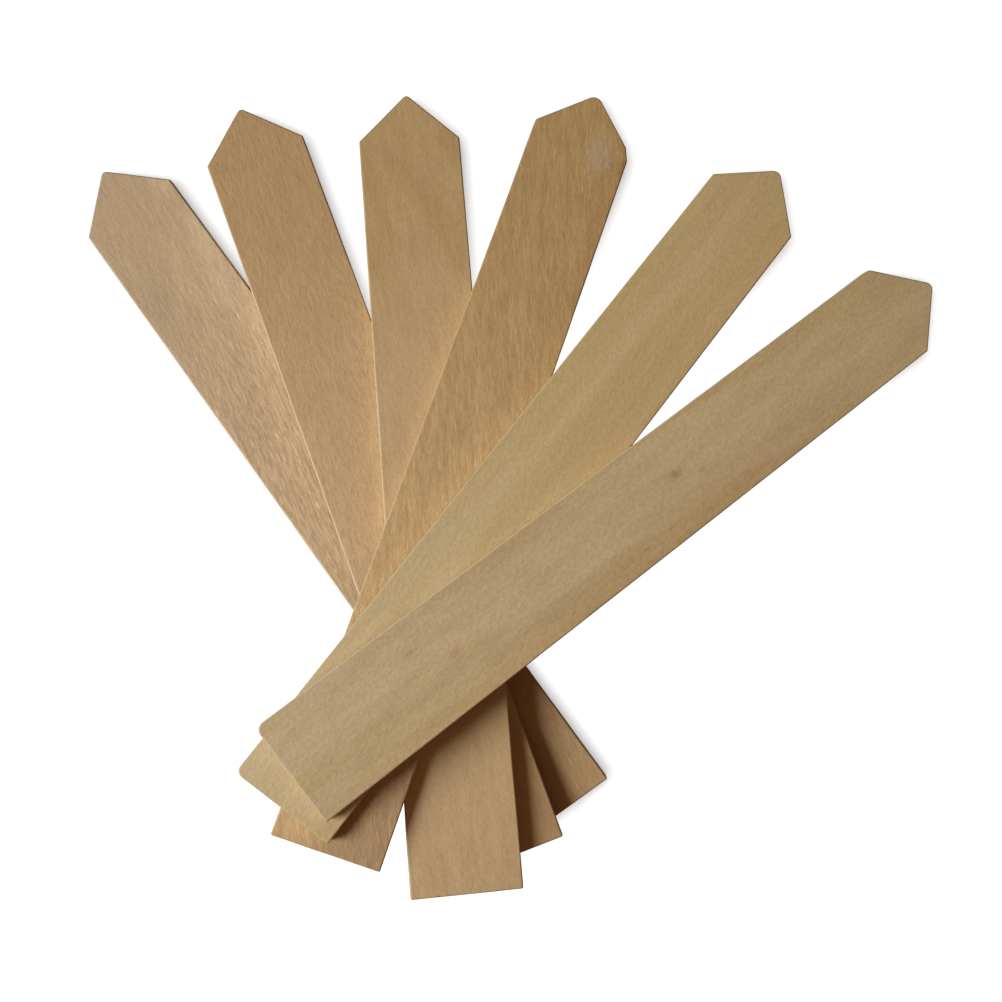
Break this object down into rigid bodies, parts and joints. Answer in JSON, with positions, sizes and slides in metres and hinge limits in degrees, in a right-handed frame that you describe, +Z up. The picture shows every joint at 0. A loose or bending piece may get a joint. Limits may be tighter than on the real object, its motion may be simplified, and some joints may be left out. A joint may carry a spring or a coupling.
{
  "type": "plant label stakes",
  "caption": "Fan of loose flat wooden plant label stakes, each a thin blank strip with a blunt writing end and a short point for the soil.",
  "frame": {"origin": "on the table, under the middle of the fan's footprint", "axes": "+Z up from the table, +X across the fan to the right, +Y towards the middle points of the fan"},
  "size_m": [0.1608, 0.1498, 0.0208],
  "materials": {
    "stake_1_wood": "bare sanded beech, pale with short pinkish ray flecks",
    "stake_2_wood": "bare sanded beech, warm with short darker ray flecks",
    "stake_3_wood": "bare sanded wood, smooth greyish tan",
    "stake_4_wood": "bare sanded wood, golden brown with strong slanting grain",
    "stake_5_wood": "bare sanded wood, smooth straw tan",
    "stake_6_wood": "bare sanded wood, smooth tan with soft lengthwise bands"
  },
  "bodies": {
    "stake_1": {"stake_1": "stake_1_wood"},
    "stake_2": {"stake_2": "stake_2_wood"},
    "stake_3": {"stake_3": "stake_3_wood"},
    "stake_4": {"stake_4": "stake_4_wood"},
    "stake_5": {"stake_5": "stake_5_wood"},
    "stake_6": {"stake_6": "stake_6_wood"}
  },
  "joints": [
    {"name": "stake_2_lift", "type": "slide", "parent": "stake_1", "child": "stake_2", "axis": [0, 0, 1], "range_m": [0, 0.06]},
    {"name": "stake_3_lift", "type": "slide", "parent": "stake_2", "child": "stake_3", "axis": [0, 0, 1], "range_m": [0, 0.06]},
    {"name": "stake_4_lift", "type": "slide", "parent": "stake_3", "child": "stake_4", "axis": [0, 0, 1], "range_m": [0, 0.06]},
    {"name": "stake_5_lift", "type": "slide", "parent": "stake_4", "child": "stake_5", "axis": [0, 0, 1], "range_m": [0, 0.06]},
    {"name": "stake_6_lift", "type": "slide", "parent": "stake_5", "child": "stake_6", "axis": [0, 0, 1], "range_m": [0, 0.06]}
  ]
}
